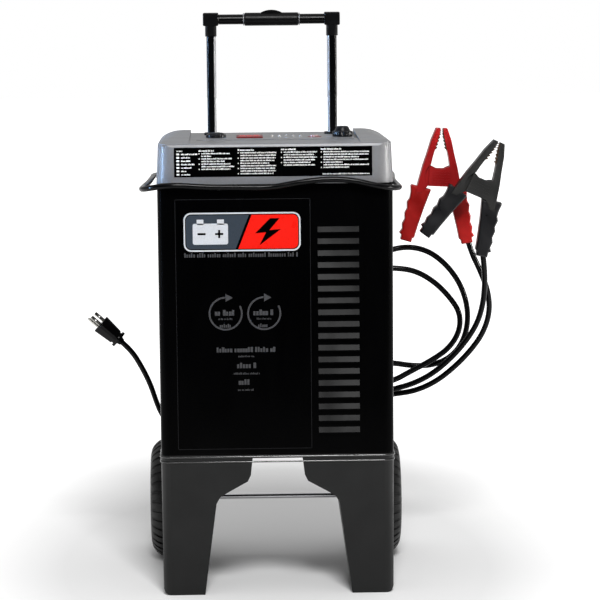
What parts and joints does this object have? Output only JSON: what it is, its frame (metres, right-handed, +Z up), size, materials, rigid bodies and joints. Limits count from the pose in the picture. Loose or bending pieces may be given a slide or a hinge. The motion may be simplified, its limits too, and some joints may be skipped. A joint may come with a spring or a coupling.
{
  "type": "car battery charger",
  "caption": "Wheeled upright charger for vehicle batteries, with a telescopic handle, louvred case, mains cord and red and black spring clamps on cables.",
  "frame": {"origin": "on the floor, under the middle of the charger measured without its cords, plug and clamps", "axes": "+Z up, the front panel faces -Y, +X to the right of a person who looks at the front"},
  "size_m": [0.6538, 0.3783, 0.868],
  "materials": {
    "base_plastic": "satin textured charcoal",
    "black_sheet": "gloss black powder coat",
    "zinc_sheet": "zinc plated",
    "zinc_steel": "bright zinc",
    "label_black": "printed film",
    "lid_grey": "satin silver grey",
    "display_red": "dark red window",
    "led_lens": "translucent lens",
    "black_plastic": "moulded black",
    "knob_black": "black with grey cap",
    "button_silver": "pinkish silver",
    "handle_black": "satin black",
    "tyre_rubber": "rubber",
    "hub_plastic": "moulded black",
    "core_steel": "varnished laminations",
    "copper_winding": "enamelled wire",
    "bare_aluminium": "extruded",
    "component_can": "moulded",
    "board_green": "solder resist",
    "guard_wire": "plated wire",
    "cord_rubber": "satin",
    "prong_metal": "nickel plated",
    "spring_steel": "plated",
    "contact_copper": "bare copper",
    "clamp_red": "moulded red",
    "grip_red": "vinyl",
    "clamp_black": "moulded black",
    "grip_black": "vinyl"
  },
  "bodies": {
    "root": {"base_frame": "base_plastic", "base_pan": "zinc_sheet", "front_shell": "black_sheet", "rear_panel": "black_sheet", "case_screws": "zinc_steel", "front_label": "label_black", "lid": "lid_grey", "instruction_label": "label_black", "control_panel": "lid_grey", "display_window": "display_red", "status_leds": "led_lens", "guide_tubes": "zinc_sheet", "guide_bezels": "black_plastic", "guide_bracket": "zinc_sheet", "axle": "zinc_steel", "axle_caps": "zinc_steel", "axle_spacers": "zinc_steel", "transformer_core": "core_steel", "transformer_coil": "copper_winding", "heat_sink": "bare_aluminium", "rectifier_diodes": "component_can", "control_board": "board_green", "board_components": "component_can", "fan_frame": "black_plastic", "fan_guard": "guard_wire", "mains_gland": "cord_rubber", "cable_glands": "cord_rubber", "cord_hooks": "black_plastic", "mains_cord": "cord_rubber", "plug_body": "cord_rubber", "plug_prongs": "prong_metal", "red_cable": "cord_rubber", "black_cable": "cord_rubber", "clamp_pivots": "spring_steel", "clamp_springs": "spring_steel", "clamp_fixed_contacts": "contact_copper", "red_fixed_jaw": "clamp_red", "red_fixed_grip": "grip_red", "black_fixed_jaw": "clamp_black", "black_fixed_grip": "grip_black"},
    "handle": {"handle_tube_left": "handle_black", "handle_tube_right": "handle_black", "handle_corners": "black_plastic", "handle_crossbar": "handle_black", "handle_grip": "black_plastic"},
    "release_button": {"release_button": "black_plastic"},
    "wheel_left": {"tyre_left": "tyre_rubber", "hub_left": "hub_plastic"},
    "wheel_right": {"tyre_right": "tyre_rubber", "hub_right": "hub_plastic"},
    "left_knob": {"left_knob": "knob_black"},
    "right_knob": {"right_knob": "knob_black"},
    "start_button": {"start_button": "button_silver"},
    "fan_rotor": {"fan_rotor": "black_plastic"},
    "red_jaw": {"red_moving_jaw": "clamp_red", "red_moving_grip": "grip_red", "red_moving_contact": "contact_copper"},
    "black_jaw": {"black_moving_jaw": "clamp_black", "black_moving_grip": "grip_black", "black_moving_contact": "contact_copper"}
  },
  "joints": [
    {"name": "handle_slide", "type": "slide", "parent": "root", "child": "handle", "axis": [0, 0, 1], "range_m": [-0.145, 0]},
    {"name": "release_button_press", "type": "slide", "parent": "handle", "child": "release_button", "axis": [0, 0, -1], "range_m": [0, 0.003], "stiffness_N_per_m": 600, "springref_m": -0.001},
    {"name": "left_wheel_spin", "type": "hinge", "parent": "root", "child": "wheel_left", "pos_m": [-0.1755, 0.0892, 0.093], "axis": [1, 0, 0], "continuous": true},
    {"name": "right_wheel_spin", "type": "hinge", "parent": "root", "child": "wheel_right", "pos_m": [0.1755, 0.0892, 0.093], "axis": [1, 0, 0], "continuous": true},
    {"name": "left_knob_turn", "type": "hinge", "parent": "root", "child": "left_knob", "pos_m": [-0.087, -0.0368, 0.679], "axis": [0, 0, -1], "range_deg": [-135, 135]},
    {"name": "right_knob_turn", "type": "hinge", "parent": "root", "child": "right_knob", "pos_m": [0.1055, -0.0368, 0.679], "axis": [0, 0, -1], "range_deg": [0, 270]},
    {"name": "start_button_press", "type": "slide", "parent": "root", "child": "start_button", "axis": [0, 0, -1], "range_m": [0, 0.0015], "stiffness_N_per_m": 900, "springref_m": -0.001},
    {"name": "fan_spin", "type": "hinge", "parent": "root", "child": "fan_rotor", "pos_m": [0, 0.0762, 0.35], "axis": [0, 1, 0], "continuous": true},
    {"name": "red_jaw_open", "type": "hinge", "parent": "root", "child": "red_jaw", "pos_m": [0.262, 0.0712, 0.605], "axis": [0, -1, 0], "range_deg": [0, 28], "stiffness_Nm_per_rad": 2, "springref_deg": -17.19},
    {"name": "black_jaw_open", "type": "hinge", "parent": "root", "child": "black_jaw", "pos_m": [0.3215, 0.0362, 0.5915], "axis": [0, -1, 0], "range_deg": [0, 28], "stiffness_Nm_per_rad": 2, "springref_deg": -17.19}
  ]
}
